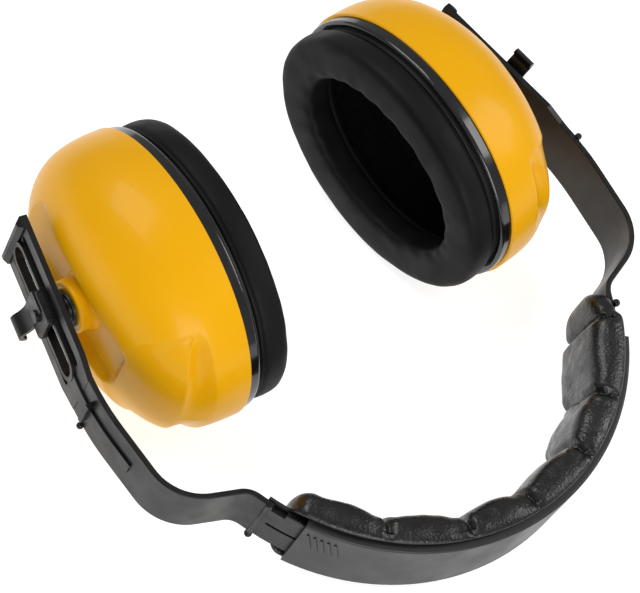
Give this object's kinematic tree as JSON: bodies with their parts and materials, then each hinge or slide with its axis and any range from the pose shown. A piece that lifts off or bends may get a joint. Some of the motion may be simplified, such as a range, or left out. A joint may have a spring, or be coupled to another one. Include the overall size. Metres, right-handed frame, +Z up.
{
  "type": "earmuff hearing protector",
  "caption": "Over-the-head hearing protector: ear cups with cushions on sliding ball carriers, held by bent arms in a padded headband.",
  "frame": {"origin": "centre of the lying muff's bounding box, on the ground it lies on", "axes": "+X from the wearer's left ear to the right, -Y towards the crown of the headband, +Z up from the ground"},
  "size_m": [0.215, 0.1938, 0.0878],
  "materials": {
    "strap": "satin dark grey moulded plastic",
    "liner": "matte black spring plastic",
    "pad_vinyl": "black grained vinyl",
    "foam": "black open-cell foam",
    "arm": "satin black moulded plastic",
    "button": "satin black moulded plastic",
    "race": "plain black plastic",
    "shell": "glossy deep yellow moulded plastic",
    "ring": "glossy black",
    "cushion_vinyl": "smooth black vinyl, satin"
  },
  "bodies": {
    "headband": {"headband_strap": "strap", "headband_liner": "liner", "headband_pad_foam": "foam", "headband_pad_cover": "pad_vinyl"},
    "right_arm": {"right_arm": "arm"},
    "right_carrier": {"right_thumb_button": "button", "right_ball_pin": "button"},
    "right_race": {"right_ball_race": "race"},
    "right_cup": {"right_cup_shell": "shell", "right_seal_ring": "ring", "right_cushion_backing": "race", "right_cushion_cover": "cushion_vinyl", "right_cushion_foam": "foam", "right_sound_foam": "foam"},
    "left_arm": {"left_arm": "arm"},
    "left_carrier": {"left_thumb_button": "button", "left_ball_pin": "button"},
    "left_race": {"left_ball_race": "race"},
    "left_cup": {"left_cup_shell": "shell", "left_seal_ring": "ring", "left_cushion_backing": "race", "left_cushion_cover": "cushion_vinyl", "left_cushion_foam": "foam", "left_sound_foam": "foam"}
  },
  "joints": [
    {"name": "right_arm_insertion", "type": "hinge", "parent": "headband", "child": "right_arm", "pos_m": [0, -0.00965, 0.03294], "axis": [0, 0.2032, -0.9791], "range_deg": [0, 7]},
    {"name": "right_height_slide", "type": "slide", "parent": "right_arm", "child": "right_carrier", "axis": [0.1977, -0.9598, -0.1992], "range_m": [-0.0185, 0.014]},
    {"name": "right_cup_tilt", "type": "hinge", "parent": "right_carrier", "child": "right_race", "pos_m": [0.09029, 0.04754, 0.04481], "axis": [0, -0.2032, 0.9791], "range_deg": [-8, 8]},
    {"name": "right_cup_swivel", "type": "hinge", "parent": "right_race", "child": "right_cup", "pos_m": [0.09029, 0.04754, 0.04481], "axis": [0.0698, -0.9768, -0.2027], "range_deg": [-8, 8]},
    {"name": "left_arm_insertion", "type": "hinge", "parent": "headband", "child": "left_arm", "pos_m": [0, -0.00965, 0.03294], "axis": [0, -0.2032, 0.9791], "range_deg": [0, 7]},
    {"name": "left_height_slide", "type": "slide", "parent": "left_arm", "child": "left_carrier", "axis": [-0.1977, -0.9598, -0.1992], "range_m": [-0.0185, 0.014]},
    {"name": "left_cup_tilt", "type": "hinge", "parent": "left_carrier", "child": "left_race", "pos_m": [-0.09029, 0.04754, 0.04481], "axis": [0, -0.2032, 0.9791], "range_deg": [-8, 8]},
    {"name": "left_cup_swivel", "type": "hinge", "parent": "left_race", "child": "left_cup", "pos_m": [-0.09029, 0.04754, 0.04481], "axis": [-0.0698, -0.9768, -0.2027], "range_deg": [-8, 8]}
  ]
}
